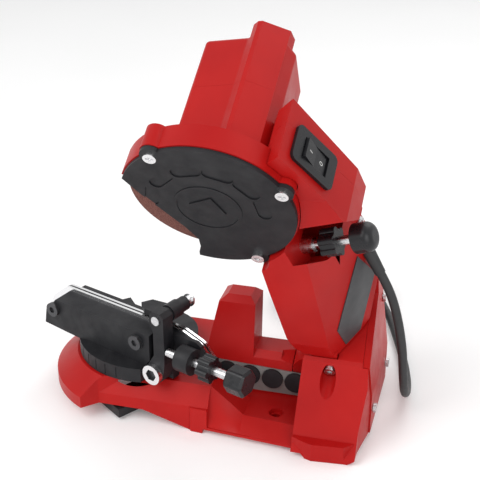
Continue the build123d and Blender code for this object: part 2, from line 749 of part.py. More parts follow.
pin_point = vise_point(stop_pin_o, stop_tube_t, stop_tube_z)
with BuildPart() as stop_pin:
    disc(Plane(origin=pin_point, x_dir=ALONG, z_dir=OUT), stop_pin_r, lever_o[1] + 1 - stop_pin_o)
    disc(Plane(origin=vise_point(stop_pin_o + 2, stop_tube_t, stop_tube_z), x_dir=ALONG, z_dir=OUT),
         stop_pin_r + 1, circlip_thick, Mode.SUBTRACT, bore=stop_pin_r - 0.5)
save(stop_pin, "stop_pin")

with BuildPart() as stop_circlip:
    circlip_at = vise_point(stop_pin_o + 2, stop_tube_t, stop_tube_z)
    with BuildSketch(Plane(origin=circlip_at, x_dir=ALONG, z_dir=OUT)):
        Circle(circlip_r)
        Circle(stop_pin_r - 0.48, mode=Mode.SUBTRACT)
        with Locations((0, -4)):
            Rectangle(3, 5, mode=Mode.SUBTRACT)
    extrude(amount=circlip_thick)
save(stop_circlip, "stop_circlip")

with BuildPart() as chain_stop_pawl:
    with BuildSketch(vise_side(pawl_o[0])):
        with Locations((stop_tube_t, stop_tube_z)):
            Circle(pawl_hub_r)
    extrude(amount=pawl_o[1] - pawl_o[0])
    prism(vise_level(pawl_z), [
        (pawl_o[1], stop_tube_t - 3), (pawl_o[1], 18), (23, 10), (15, 14), (pawl_o[0] - 6, stop_tube_t - 6),
        (pawl_o[0], stop_tube_t - 3)], 4.2)
    with BuildSketch(vise_side(pawl_o[0] - 8)):
        with Locations((stop_tube_t, stop_tube_z)):
            Circle(stop_tube_r + running)
    extrude(amount=30, mode=Mode.SUBTRACT)
save(chain_stop_pawl, "chain_stop_pawl")

with BuildPart() as adjusting_screw:
    disc(vise_cross(adjust_t[0], adjust_o, adjust_z), adjust_r, adjust_t[1] - adjust_t[0])
save(adjusting_screw, "adjusting_screw")

with BuildPart() as adjusting_nut:
    star(vise_cross(adjust_nut_t[0], adjust_o, adjust_z), adjust_grip_r, adjust_nut_t[1] - adjust_nut_t[0],
         adjust_r + running)
save(adjusting_nut, "adjusting_nut")

with BuildPart() as adjusting_knob:
    with BuildSketch(vise_cross(adjust_knob_t[0], adjust_o, adjust_z)):
        RegularPolygon(adjust_grip_r + 1, 6)
        fillet(vertices(), 3)
    extrude(amount=adjust_knob_t[1] - adjust_knob_t[0])
    chamfer(faces().sort_by(Axis(DRUM, ALONG))[-1].edges(), 1.6)
    chamfer(faces().sort_by(Axis(DRUM, ALONG))[0].edges(), 1.6)
    disc(vise_cross(adjust_knob_t[0] - 1, adjust_o, adjust_z), adjust_r + running, 5, Mode.SUBTRACT)
save(adjusting_knob, "adjusting_knob")

# ---------------------------------------------------------------- angle lock lever
grip = polar(lock_width, lock_direction)
inward = polar(lock_reach, 146)
corner_a = lock_corner
corner_b = (corner_a[0] - grip[0], corner_a[1] - grip[1])
corner_c = (corner_b[0] + inward[0], corner_b[1] + inward[1])
corner_d = (corner_a[0] + inward[0], corner_a[1] + inward[1])
with BuildPart() as angle_lock_lever:
    disc(Plane(origin=DRUM + Vector(0, 0, lock_z0)), lock_hub_r, lock_z1 - lock_z0)
    prism(Plane.XY.offset(lock_z0), [corner_a, corner_b, corner_c, (0, drum_y - lock_hub_r + 1),
                                     (0, drum_y + lock_hub_r - 1), corner_d], lock_z1 - lock_z0)
    disc(Plane(origin=DRUM + Vector(0, 0, lock_z0 - 1)), lock_screw_r + fit_gap, 20, Mode.SUBTRACT)
    disc(Plane(origin=DRUM + Vector(0, 0, lock_z0 - 1)), 8.5, 3.5, Mode.SUBTRACT)
save(angle_lock_lever, "angle_lock_lever")

with BuildPart() as lock_screw:
    disc(Plane(origin=DRUM + Vector(0, 0, lock_z0 + 0.4)), 8, 2.1)
    disc(Plane(origin=DRUM + Vector(0, 0, lock_z0 + 2)), lock_screw_r, 18)
save(lock_screw, "lock_screw")

# ---------------------------------------------------------------- swinging head
near_reach = wheel_v + 10
head_outline = [
    (-10, 165), (-8.2, 152), (-3.5, 128), (6.2, 83), (11.5, 71.6), (16.5, 66), (54, 66), (58.1, 68),
    (62.5, 97.5), (57.5, 116.5), (49, 141), (54.5, 178), (49.5, 195), (37.5, 213), (12, 251.2), (2, 240),
    (-2, 228), (wheel_y, wheel_v)]
head_depth = [
    (10, -21), (66, -24.2), (210, -36), (260, -40), (260, guard_c[0] + 12), (near_reach, guard_c[0] + 12.5),
    (78, upright_c[1]), (10, upright_c[1])]
facet_normal = Vector(0, 0.846, 0) + RISE * 0.228 + NORMAL * 0.482
facet = Plane(origin=head_point(51.5, 90, 0.0), x_dir=RISE - facet_normal * RISE.dot(facet_normal),
              z_dir=facet_normal)
screw_dir = Vector(0, math.cos(math.radians(screw_angle)), 0) + RISE * math.sin(math.radians(screw_angle))
screw_origin = head_point(screw_line[0], screw_line[1], screw_c)


def screw_plane(u):
    return Plane(origin=screw_origin + screw_dir * u, x_dir=NORMAL, z_dir=screw_dir)


bezel_dir = Vector(0, math.cos(math.radians(bezel_angle)), 0) + RISE * math.sin(math.radians(bezel_angle))
bezel_out = NORMAL.cross(bezel_dir)
bezel_mid = (bezel_c[0] + bezel_c[1]) / 2


def bezel_plane(lift, c=bezel_mid):
    """Sketch plane of the switch face: local x runs down the face."""
    return Plane(origin=head_point(bezel_centre[0], bezel_centre[1], c) + bezel_out * lift,
                 x_dir=bezel_dir, z_dir=bezel_out)


cord_way = Vector(0, *polar(1, cord_slope))


def outlet(reach):
    """Sketch plane across the cord outlet, at a reach along the way the cord leaves."""
    return Plane(origin=Vector(*cord_exit) + cord_way * reach, x_dir=(1, 0, 0), z_dir=cord_way)


ear_at = [polar(ear_reach, angle) for angle in ear_angles]
recess_dir = (Vector(*recess_opening) - screw_dir * screw_dir.dot(Vector(*recess_opening))).normalized()
with BuildPart() as screw_recess:
    with BuildSketch(Plane(origin=screw_origin + screw_dir * recess_u, x_dir=recess_dir, z_dir=screw_dir)):
        Circle(knob_r + 0.5)
        Polygon((0, -knob_r - 0.5), (60, -knob_r - 0.5), (60, knob_r + 0.5), (0, knob_r + 0.5), align=None)
    extrude(amount=70)

with BuildPart() as facet_cutter:
    with BuildSketch(facet):
        Rectangle(400, 300)
    extrude(amount=60)
    prism(head_plane(-60), [(-20, 30), (-20, 145.6), (90, 194.6), (90, 30)], 120, Mode.INTERSECT)

with BuildPart() as head_shell:
    prism(head_plane(-40), head_outline, 80)
    prism(Plane(origin=NORMAL * -head_offset, x_dir=RISE, z_dir=(0, 1, 0)), head_depth, 120, Mode.INTERSECT,
          both=True)
    add(facet_cutter.part, mode=Mode.SUBTRACT)
    add(screw_recess.part, mode=Mode.SUBTRACT)
    # round drum in the socket
    disc(head_axis(pivot_y, pivot_v, upright_c[0]), socket_r, upright_c[1] - upright_c[0])
    prism(head_plane(upright_c[0]), [
        (pivot_y - neck_half, pivot_v), (pivot_y + neck_half, pivot_v), (pivot_y + neck_half, parting_v + 5),
        (pivot_y - neck_half, parting_v + 5)], upright_c[1] - upright_c[0])
    # room for the wheel guard and for the motor
    disc(wheel_plane(guard_c[0] - seat_gap), guard_r + 0.5, 60, Mode.SUBTRACT)
    extrude(motor_outline(-60, seat_gap), amount=120, mode=Mode.SUBTRACT)
    for y, v in ear_at:
        disc(head_axis(wheel_y + y, wheel_v + v, guard_c[0] - seat_gap), ear_r + 0.5, 60, Mode.SUBTRACT)
    # boss of the cord outlet
    disc(outlet(-boss_depth), boss_r, boss_depth)
    # notch that clears the stop tower, hollow of the wiring, and the spring's hollow
    prism(head_plane(-19), [(-30, 78), (17.5, 78), (17.5, 128), (-30, 128)], 40, Mode.SUBTRACT)
    prism(head_plane(upright_split), [
        (23, 88), (42, 84), (40, 150), (44, 180), (28, 182), (24, 160), (6, 145), (8, 134), (23, 134)],
        20, Mode.SUBTRACT)
    disc(head_axis(pivot_y, pivot_v, upright_c[0] - 1), bush_r + fit_gap, 70, Mode.SUBTRACT)
    disc(head_axis(pivot_y, pivot_v, upright_c[0] + bush_length), 13,
         upright_c[1] - upright_c[0] - 2 * bush_length, Mode.SUBTRACT)
    # depth screw bore and its seat, switch pocket, cord hole
    disc(screw_plane(screw_tip - 5), screw_r + 0.3, 60, Mode.SUBTRACT)
    disc(screw_plane(-8), screw_seat_r + fit_gap, 40, Mode.SUBTRACT)
    with BuildSketch(bezel_plane(5, -13)):
        Rectangle(23.4, 15.4)
    extrude(amount=-10.4, mode=Mode.SUBTRACT)
    with BuildSketch(bezel_plane(0, -13)):
        Rectangle(22.4, 12.4)
    extrude(amount=-18, mode=Mode.SUBTRACT)
    disc(outlet(-boss_depth + 3), gland_r + fit_gap, boss_depth + gland_tail, Mode.SUBTRACT)

with BuildPart() as upright_housing:
    add(head_shell.part)
    prism(head_plane(upright_split - 40), [(-60, 0), (110, 0), (110, 300), (-60, 300)], 40, Mode.SUBTRACT)
save(upright_housing, "upright_housing")

with BuildPart() as upright_cover:
    add(head_shell.part)
    prism(head_plane(upright_split - seam_gap), [(-60, 0), (110, 0), (110, 300), (-60, 300)], 90,
          Mode.SUBTRACT)
    for y, v in shell_screws:
        disc(head_axis(y, v, -50), 3.2, 25 - 0.5, Mode.SUBTRACT)
        disc(head_axis(y, v, -50), 1.6 + fit_gap, 50, Mode.SUBTRACT)
save(upright_cover, "upright_cover")

with BuildPart() as shell_screw_set:
    for y, v in shell_screws:
        disc(head_axis(y, v, -28), 3, 2.5)
        disc(head_axis(y, v, -26), 1.6, 26 + upright_split - seam_gap)
save(shell_screw_set, "shell_screws")

plate_corners = [
    (49.5, 126.6, -13.7), (40, 85.5, 22.5), (44.8, 68, 22.2), (52.7, 68, 8.3), (59.4, 100.9, -19)]
with BuildPart() as rating_plate:
    corners = [facet.to_local_coords(head_point(*corner)) for corner in plate_corners]
    prism(facet.offset(0.02), [(p.X, p.Y) for p in corners], plate_thick)
save(rating_plate, "rating_plate")

with BuildPart() as pivot_bushes:
    disc(head_axis(pivot_y, pivot_v, upright_c[0]), bush_r, bush_length, bore=pivot_r + running)
    disc(head_axis(pivot_y, pivot_v, upright_c[1] - bush_length), bush_r, bush_length, bore=pivot_r + running)
save(pivot_bushes, "pivot_bushes")

# wheel guard and its black cover, both open towards the chain
open_side = [(-80, 30), (-52, 22), (-43, 8), (-19, -23.5), (-12, -36), (-12, -44), (-14, -51), (-16, -80),
             (-80, -80)]
with BuildPart() as wheel_guard:
    with BuildSketch(wheel_plane(guard_c[0])):
        Circle(guard_r)
        with Locations(*ear_at):
            Circle(ear_r)
        Polygon(*open_side, align=None, mode=Mode.SUBTRACT)
    extrude(amount=guard_c[1] - guard_c[0])
    disc(wheel_plane(guard_c[0] + guard_floor), guard_r - guard_wall, 40, Mode.SUBTRACT)
    disc(wheel_plane(guard_c[0] - 1), 9, 40, Mode.SUBTRACT)
    for y, v in ear_at:
        disc(head_axis(wheel_y + y, wheel_v + v, guard_c[1] - ear_boss), 4.6, ear_boss)
        disc(head_axis(wheel_y + y, wheel_v + v, guard_c[1] - ear_boss), ear_screw_r + fit_gap, 20,
             Mode.SUBTRACT)
save(wheel_guard, "wheel_guard")

with BuildPart() as wheel_cover:
    with BuildSketch(wheel_plane(guard_c[1] + seam_gap)):
        Circle(guard_r - 1)
        with Locations(*ear_at):
            Circle(ear_r - 0.6)
        Polygon(*open_side, align=None, mode=Mode.SUBTRACT)
    extrude(amount=cover_thick)
    # raised square in the middle, a low ring round it, and shallow dents between the ribs
    with BuildSketch(wheel_plane(guard_c[1] + cover_thick)):
        Circle(22)
        Circle(20, mode=Mode.SUBTRACT)
        Polygon(*open_side, align=None, mode=Mode.SUBTRACT)
    extrude(amount=0.6)
    with BuildSketch(wheel_plane(guard_c[1] + cover_thick)):
        Rectangle(17, 17, rotation=-62)
    extrude(amount=1)
    with BuildSketch(wheel_plane(guard_c[1] + cover_thick - 0.7)):
        for angle in range(8, 200, 32):
            with Locations(Location((0, 0, 0), (0, 0, angle))):
                with Locations((36, 0)):
                    SlotOverall(20, 9, rotation=90)
    extrude(amount=3, mode=Mode.SUBTRACT)
    for y, v in ear_at:
        disc(head_axis(wheel_y + y, wheel_v + v, guard_c[1] - 1), ear_screw_r + fit_gap, 20, Mode.SUBTRACT)
save(wheel_cover, "wheel_cover")

with BuildPart() as cover_screws_set:
    for y, v in ear_at:
        disc(head_axis(wheel_y + y, wheel_v + v, guard_c[1] - ear_boss), ear_screw_r,
             ear_boss + cover_thick + seam_gap)
        disc(head_axis(wheel_y + y, wheel_v + v, guard_c[1] + cover_thick + seam_gap), ear_head_r, 2.2)
        with BuildSketch(head_axis(wheel_y + y, wheel_v + v, guard_c[1] + cover_thick + seam_gap + 1.2)):
            Rectangle(5, 1.2)
            Rectangle(1.2, 5)
        extrude(amount=3, mode=Mode.SUBTRACT)
save(cover_screws_set, "cover_screws")

# ---------------------------------------------------------------- motor
motor_front = guard_c[0] - seam_gap
with BuildPart() as motor_shape:
    extrude(motor_outline(motor_end), amount=motor_front - motor_end)
    fillet(faces().sort_by(Axis(head_point(0, 0, 0), NORMAL))[0].edges(), motor_fillet)
    with BuildSketch(wheel_plane(spine_end)):
        Polygon((5, 26), (6.5, 37.5), *spine, (33, 26), align=None)
    extrude(amount=motor_front - spine_end)

with BuildPart() as motor_housing:
    add(motor_shape.part)
    disc(wheel_plane(motor_split - 100), 90, 100, Mode.SUBTRACT)
    disc(wheel_plane(motor_split - 1), stator_r + 0.05, front_wall_c - motor_split + 1, Mode.SUBTRACT)
    disc(wheel_plane(front_bearing_c - bearing_width / 2), bearing_r + 3,
         front_wall_c - front_bearing_c + bearing_width / 2)
    disc(wheel_plane(front_bearing_c - bearing_width / 2 - 1), bearing_r + fit_gap, bearing_width + 1,
         Mode.SUBTRACT)
    disc(wheel_plane(-60), shaft_r + 2, 80, Mode.SUBTRACT)
    for y, v in cap_screw_places:
        disc(head_axis(wheel_y + y, wheel_v + v, motor_split), 2 + fit_gap, 12, Mode.SUBTRACT)
save(motor_housing, "motor_housing")

with BuildPart() as motor_cap:
    add(motor_shape.part)
    disc(wheel_plane(motor_split - seam_gap), 90, 100, Mode.SUBTRACT)
    disc(wheel_plane(motor_end + 5), stator_r + 0.05, 90, Mode.SUBTRACT)
    disc(wheel_plane(motor_end + 4), bearing_r + 3, rear_bearing_c + bearing_width / 2 - motor_end - 4)
    disc(wheel_plane(rear_bearing_c - bearing_width / 2), bearing_r + fit_gap, 20, Mode.SUBTRACT)
    disc(wheel_plane(motor_end + 5.6), shaft_r + 2, 10, Mode.SUBTRACT)
    for y, v in cap_screw_places:
        disc(head_axis(wheel_y + y, wheel_v + v, spine_end - 1), 3.4, motor_end + 6 - spine_end,
             Mode.SUBTRACT)
        disc(head_axis(wheel_y + y, wheel_v + v, motor_end), 2 + fit_gap, 70, Mode.SUBTRACT)
save(motor_cap, "motor_cap")

with BuildPart() as cap_screws:
    for y, v in cap_screw_places:
        disc(head_axis(wheel_y + y, wheel_v + v, motor_end + 2), 3.2, 3)
        disc(head_axis(wheel_y + y, wheel_v + v, motor_end + 4), 2, motor_split + 10 - motor_end - 4)
save(cap_screws, "motor_cap_screws")

with BuildPart() as motor_stator:
    disc(wheel_plane(stator_c[0]), stator_r, stator_c[1] - stator_c[0], bore=stator_bore_r)
save(motor_stator, "motor_stator")

with BuildPart() as motor_bearings:
    for c in (rear_bearing_c, front_bearing_c):
        disc(wheel_plane(c - bearing_width / 2), bearing_r, bearing_width, bore=shaft_r + running)
save(motor_bearings, "motor_bearings")

with BuildPart() as rotor_core:
    disc(wheel_plane(stator_c[0]), rotor_r, stator_c[1] - stator_c[0], bore=shaft_r + fit_gap)
save(rotor_core, "rotor_core")

flange_back = wheel_c - wheel_thick / 2
with BuildPart() as motor_shaft:
    disc(wheel_plane(rear_bearing_c - bearing_width / 2), shaft_r,
         flange_back + wheel_thick + flange_thick + 3 - rear_bearing_c + bearing_width / 2)
save(motor_shaft, "motor_shaft")

with BuildPart() as wheel_flanges:
    disc(wheel_plane(flange_back - flange_thick), flange_r, flange_thick, bore=shaft_r + fit_gap)
    disc(wheel_plane(flange_back), wheel_bore_r - fit_gap, wheel_thick, bore=shaft_r + fit_gap)
    disc(wheel_plane(flange_back + wheel_thick), flange_r, flange_thick, bore=shaft_r + fit_gap)
save(wheel_flanges, "wheel_flanges")

with BuildPart() as wheel_nut:
    with BuildSketch(wheel_plane(flange_back + wheel_thick + flange_thick)):
        RegularPolygon(nut_r, 6)
        Circle(shaft_r + fit_gap, mode=Mode.SUBTRACT)
    extrude(amount=3.2)
save(wheel_nut, "wheel_nut")

with BuildPart() as grinding_wheel:
    disc(wheel_plane(flange_back), wheel_r, wheel_thick, bore=wheel_bore_r)
save(grinding_wheel, "grinding_wheel")

# ---------------------------------------------------------------- switch
with BuildPart() as switch_bezel:
    with BuildSketch(bezel_plane(fit_gap)):
        RectangleRounded(bezel_length, bezel_c[1] - bezel_c[0], 4)
    extrude(amount=bezel_proud)
    with BuildSketch(bezel_plane(0, -13)):
        Rectangle(rocker_length + 1, rocker_c[1] - rocker_c[0] + 0.8)
    extrude(amount=10, mode=Mode.SUBTRACT)
save(switch_bezel, "switch_bezel")

with BuildPart() as switch_body:
    with BuildSketch(bezel_plane(-5.4, -13)):
        Rectangle(22, 12)
    extrude(amount=-12)
save(switch_body, "switch_body")

rocker_points = [(-10.8, 2.6), (0, 1.9), (10.8, 2.6), (10.8, -0.4), (4, -2.8), (-4, -2.8), (-10.8, -0.4)]
swing = math.radians(rocker_swing)
rocker_shape = [
    (x * math.cos(swing) + z * math.sin(swing), z * math.cos(swing) - x * math.sin(swing))
    for x, z in rocker_points]
with BuildPart() as switch_rocker:
    prism(Plane(origin=head_point(bezel_centre[0], bezel_centre[1], rocker_c[0]), x_dir=bezel_dir,
                z_dir=NORMAL), [(x, z) for x, z in rocker_shape], rocker_c[1] - rocker_c[0])
save(switch_rocker, "switch_rocker")

# ---------------------------------------------------------------- depth screw
with BuildPart() as depth_seat:
    disc(screw_plane(-8), screw_seat_r, 14, bore=screw_r + running)
save(depth_seat, "depth_seat")

with BuildPart() as depth_screw:
    disc(screw_plane(screw_tip), screw_r, screw_knob_u[1] - 6 - screw_tip)
save(depth_screw, "depth_screw")

with BuildPart() as depth_lock_nut:
    star(screw_plane(screw_nut_u[0]), knob_r - 1, screw_nut_u[1] - screw_nut_u[0], screw_r + running)
save(depth_lock_nut, "depth_lock_nut")

with BuildPart() as depth_knob:
    disc(screw_plane(screw_knob_u[0]), knob_r - 1, screw_knob_u[1] - screw_knob_u[0])
    fillet(edges().sort_by(Axis(screw_origin, screw_dir))[-1], 6)
    disc(screw_plane(screw_knob_u[0] - 1), screw_r + running, screw_knob_u[1] - 5.5 - screw_knob_u[0] + 1,
         Mode.SUBTRACT)
save(depth_knob, "depth_knob")

# ---------------------------------------------------------------- cord
with BuildPart() as cord_gland:
    disc(outlet(-gland_depth), gland_r, gland_depth)
    with BuildSketch(outlet(0)):
        Circle(gland_r)
    with BuildSketch(outlet(gland_tail)):
        Circle(gland_tip_r)
    loft()
save(cord_gland, "cord_gland")

# The lead falls behind the base, turns along the bench and runs into the outermost turn of its coil.
coil_axis = Vector(*coil_centre, 0)
turn_r = coil_mid_r + cord_r
enter = Vector(*polar(1, coil_entry), 0)
entry_way = Vector(-enter.Y, enter.X, 0)
coil_mouth = coil_axis + enter * turn_r + Vector(0, 0, coil_lift + cord_r)
cord_start = outlet(gland_tail + cord_gap).origin
cord_points = [
    cord_start, *[Vector(*point) for point in cord_drop], coil_mouth - entry_way * lead_in, coil_mouth]
cord_radii = []
for before, at, after in zip(cord_points, cord_points[1:], cord_points[2:]):
    turn = (at - before).get_angle(after - at)
    shorter = min((at - before).length, (after - at).length)
    cord_radii.append(0.45 * shorter / math.tan(math.radians(turn / 2)))
with BuildLine() as cord_line:
    FilletPolyline(*cord_points, radius=cord_radii)
cord_run = sum(edge.length for edge in cord_line.edges())
with BuildPart() as mains_cord:
    with BuildSketch(Plane(origin=cord_line.line @ 0, z_dir=cord_line.line % 0)):
        Circle(cord_r)
    sweep(path=cord_line.line)
save(mains_cord, "mains_cord")
print("cord radii", [round(r, 1) for r in cord_radii])
print("cord tube", round(cord_run, 1), "mm, volume over section times length",
      round(mains_cord.part.volume / (math.pi * cord_r ** 2 * cord_run), 4))

coil_plane = Plane(origin=coil_axis, x_dir=(1, 0, 0), z_dir=(0, -1, 0))
coil_size = (4 * cord_r, 2 * coil_layers * cord_r)
coil_middle = (coil_mid_r, coil_lift + coil_layers * cord_r)
with BuildPart() as cord_coil:
    with BuildSketch(coil_plane):
        with Locations(coil_middle):
            RectangleRounded(*coil_size, cord_r - 0.2)
    revolve(axis=Axis(coil_axis, (0, 0, 1)))
save(cord_coil, "cord_coil")

with BuildPart() as cord_tie:
    with BuildSketch(coil_plane):
        with Locations(coil_middle):
            RectangleRounded(coil_size[0] + 2 * tie_thick, coil_size[1] + 2 * tie_thick, cord_r)
            RectangleRounded(coil_size[0] + 2 * fit_gap, coil_size[1] + 2 * fit_gap, cord_r - 0.2,
                             mode=Mode.SUBTRACT)
    revolve(axis=Axis(coil_axis, (0, 0, 1)), revolution_arc=tie_arc)
save(cord_tie, "cord_tie")

leave = Vector(*polar(1, coil_leave), 0)
plug_way = Vector(-leave.Y, leave.X, 0)
plug_start = coil_axis + leave * turn_r + Vector(0, 0, plug_z)


def plug_plane(reach):
    """Sketch plane across the plug, at a reach along the way its lead leaves the coil."""
    return Plane(origin=plug_start + plug_way * reach, x_dir=plug_way.cross(Vector(0, 0, 1)), z_dir=plug_way)


with BuildPart() as cord_plug:
    disc(plug_plane(0), cord_r, plug_lead)
    with BuildSketch(plug_plane(plug_lead)):
        Circle(gland_r)
    with BuildSketch(plug_plane(plug_lead + plug_neck)):
        RectangleRounded(plug_body[0], plug_body[1], 5)
    loft()
    with BuildSketch(plug_plane(plug_lead + plug_neck)):
        RectangleRounded(plug_body[0], plug_body[1], 5)
    extrude(amount=plug_body[2])
    with BuildSketch(plug_plane(plug_lead + plug_neck + plug_body[2])):
        with Locations((-plug_pin_half, 0), (plug_pin_half, 0)):
            Circle(plug_pin_r)
    extrude(amount=plug_pin_length)
save(cord_plug, "cord_plug")
print("cord, tube and coil", round(cord_run + 2 * coil_layers * 2 * math.pi * coil_mid_r + plug_lead), "mm")
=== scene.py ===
"""Looks of an electric chainsaw sharpener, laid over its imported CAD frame.

The frame and the scene share one origin and are in metres.
"""

import math

import bpy
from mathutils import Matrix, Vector


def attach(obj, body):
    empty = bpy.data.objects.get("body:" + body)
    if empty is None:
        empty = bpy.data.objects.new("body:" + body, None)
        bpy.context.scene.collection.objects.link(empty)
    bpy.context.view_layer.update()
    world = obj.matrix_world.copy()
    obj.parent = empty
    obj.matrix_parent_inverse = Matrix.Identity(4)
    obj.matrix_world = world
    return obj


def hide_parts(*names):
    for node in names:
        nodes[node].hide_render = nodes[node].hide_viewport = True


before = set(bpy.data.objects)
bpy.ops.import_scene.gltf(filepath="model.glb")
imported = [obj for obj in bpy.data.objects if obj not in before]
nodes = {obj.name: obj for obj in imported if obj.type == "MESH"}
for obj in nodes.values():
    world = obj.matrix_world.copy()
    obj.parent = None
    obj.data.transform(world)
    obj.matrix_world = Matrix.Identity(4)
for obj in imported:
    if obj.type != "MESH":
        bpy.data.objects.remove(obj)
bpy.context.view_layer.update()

# The camera stands on the operator's side, a little behind the vise, and looks down on the bench.
# It is far enough away that the base and the motor keep their true proportions.
sight = Vector((-0.022, -0.0425, 0.1179))
distance = 0.803
around = math.radians(105)
above = math.radians(26)
camera = bpy.data.objects.new("camera", bpy.data.cameras.new("camera"))
bpy.context.scene.collection.objects.link(camera)
camera.location = sight + distance * Vector((
    math.cos(above) * math.sin(around), -math.cos(above) * math.cos(around), math.sin(above)))
camera.rotation_euler = (sight - camera.location).to_track_quat("-Z", "Y").to_euler()
camera.data.lens = 82.5
camera.data.sensor_width = 36
bpy.context.scene.camera = camera
bpy.context.scene.view_settings.view_transform = "Standard"

# Directions of the leaning head plane and of the vise, and points in their own measures (millimetres).
head_offset = 39.25
vise_middle_y = -104.5
tilt = math.radians(30)
across = Vector((math.cos(tilt), 0, -math.sin(tilt)))
rise = Vector((math.sin(tilt), 0, math.cos(tilt)))
vise_turn = math.radians(-21)
vise_out = Vector((math.cos(vise_turn), math.sin(vise_turn), 0))
vise_along = Vector((-vise_out.y, vise_out.x, 0))


def head_point(y, v, c):
    """A point of the leaning head plane, in metres."""
    return (across * (c - head_offset) + rise * v + Vector((0, y, 0))) / 1000


def vise_point(o, t, z):
    """A point of the vise, in metres."""
    return (Vector((0, vise_middle_y, z)) + vise_out * o + vise_along * t) / 1000


# Every finish below is a shader with a base colour, procedural noise that lets its tone and gloss
# drift, and where the surface has a grain, a bump from finer noise.
def new_material(name, color, roughness, metallic=0.0):
    """A material with its shader node, ready for more nodes."""
    made = bpy.data.materials.new(name)
    made.use_nodes = True
    shader = made.node_tree.nodes["Principled BSDF"]
    shader.inputs["Base Color"].default_value = (*color, 1)
    shader.inputs["Roughness"].default_value = roughness
    shader.inputs["Metallic"].default_value = metallic
    return made, shader


def noise(made, scale, detail=3.0, stretch=(1, 1, 1)):
    """A noise texture in object space, stretched along the given axes."""
    tree = made.node_tree
    place = tree.nodes.new("ShaderNodeTexCoord")
    mapping = tree.nodes.new("ShaderNodeMapping")
    mapping.inputs["Scale"].default_value = stretch
    texture = tree.nodes.new("ShaderNodeTexNoise")
    texture.inputs["Scale"].default_value = scale
    texture.inputs["Detail"].default_value = detail
    tree.links.new(place.outputs["Object"], mapping.inputs["Vector"])
    tree.links.new(mapping.outputs["Vector"], texture.inputs["Vector"])
    return texture


def tint(made, shader, texture, low, high, where="Base Color"):
    """Let a texture run a socket between two values."""
    ramp = made.node_tree.nodes.new("ShaderNodeValToRGB")
    ramp.color_ramp.elements[0].position = 0.35
    ramp.color_ramp.elements[1].position = 0.65
    ramp.color_ramp.elements[0].color = (*low, 1)
    ramp.color_ramp.elements[1].color = (*high, 1)
    made.node_tree.links.new(texture.outputs["Fac"], ramp.inputs["Fac"])
    made.node_tree.links.new(ramp.outputs["Color"], shader.inputs[where])


def grain(made, shader, texture, depth, strength=1.0):
    """Emboss a texture on the surface."""
    bump = made.node_tree.nodes.new("ShaderNodeBump")
    bump.inputs["Distance"].default_value = depth
    bump.inputs["Strength"].default_value = strength
    made.node_tree.links.new(texture.outputs["Fac"], bump.inputs["Height"])
    made.node_tree.links.new(bump.outputs["Normal"], shader.inputs["Normal"])


def wear_roughness(made, shader, texture, low, high):
    """Let a texture run the roughness between two values."""
    tint(made, shader, texture, (low,) * 3, (high,) * 3, "Roughness")


def dress(material, *names):
    """Give CAD nodes their finish."""
    for name in names:
        nodes[name].data.materials.clear()
        nodes[name].data.materials.append(material)


# The red housings are injection moulded ABS with a fine spark-eroded grain, slightly glossy.
# Handling rubs the grain down on broad faces, so tone and gloss drift a little over the shell.
red_light = (0.42, 0.0075, 0.0065)
red_deep = (0.37, 0.005, 0.005)
red_shell, shell_shader = new_material("red_shell", red_light, 0.38)
tint(red_shell, shell_shader, noise(red_shell, 22), red_deep, red_light)
wear_roughness(red_shell, shell_shader, noise(red_shell, 60), 0.34, 0.44)
grain(red_shell, shell_shader, noise(red_shell, 2600, 2), 0.00006, 0.5)
shell_shader.inputs["Specular IOR Level"].default_value = 0.17
dress(red_shell, "base_housing", "base_rear_cover", "upright_housing", "upright_cover", "wheel_guard",
      "motor_housing", "motor_cap")


# The indicator strip is a grey printed film on the platform's side, left blank like the four dark
# discs on it.
film_grey = (0.20, 0.195, 0.19)
grey_film, film_shader = new_material("grey_film", film_grey, 0.42)
tint(grey_film, film_shader, noise(grey_film, 90), (0.16, 0.155, 0.15), film_grey)
grain(grey_film, film_shader, noise(grey_film, 1800), 0.00002, 0.4)
dress(grey_film, "indicator_strip")


# The plate on the upright is a darker satin foil, left blank.
plate_dark = (0.055, 0.055, 0.058)
plate_foil, foil_shader = new_material("plate_foil", plate_dark, 0.34)
tint(plate_foil, foil_shader, noise(plate_foil, 140), (0.042, 0.042, 0.045), plate_dark)
wear_roughness(plate_foil, foil_shader, noise(plate_foil, 60), 0.28, 0.42)
dress(plate_foil, "rating_plate")


# The vise, its turntable and the hand levers are glass-filled black nylon. The fibres leave a dull,
# slightly mottled skin.
black_light = (0.017, 0.017, 0.019)
black_deep = (0.009, 0.009, 0.011)
black_nylon, nylon_shader = new_material("black_nylon", black_light, 0.48)
tint(black_nylon, nylon_shader, noise(black_nylon, 55), black_deep, black_light)
wear_roughness(black_nylon, nylon_shader, noise(black_nylon, 130), 0.42, 0.58)
grain(black_nylon, nylon_shader, noise(black_nylon, 2200, 2), 0.00008, 0.6)
nylon_shader.inputs["Specular IOR Level"].default_value = 0.26
dress(black_nylon, "turntable", "vise_body", "far_jaw", "stop_lever", "chain_stop_pawl", "angle_lock_lever",
      "wheel_cover", "indicator_discs", "switch_body", "cord_plug", "cord_tie")


# The knobs and star nuts are pressed from a smoother black thermoset, polished where fingers turn them.
knob_black, knob_shader = new_material("knob_black", (0.010, 0.010, 0.012), 0.30)
wear_roughness(knob_black, knob_shader, noise(knob_black, 180), 0.24, 0.40)
grain(knob_black, knob_shader, noise(knob_black, 1500, 2), 0.00003, 0.4)
knob_shader.inputs["Specular IOR Level"].default_value = 0.32
dress(knob_black, "adjusting_knob", "adjusting_nut", "depth_knob", "depth_lock_nut", "switch_bezel",
      "switch_rocker")


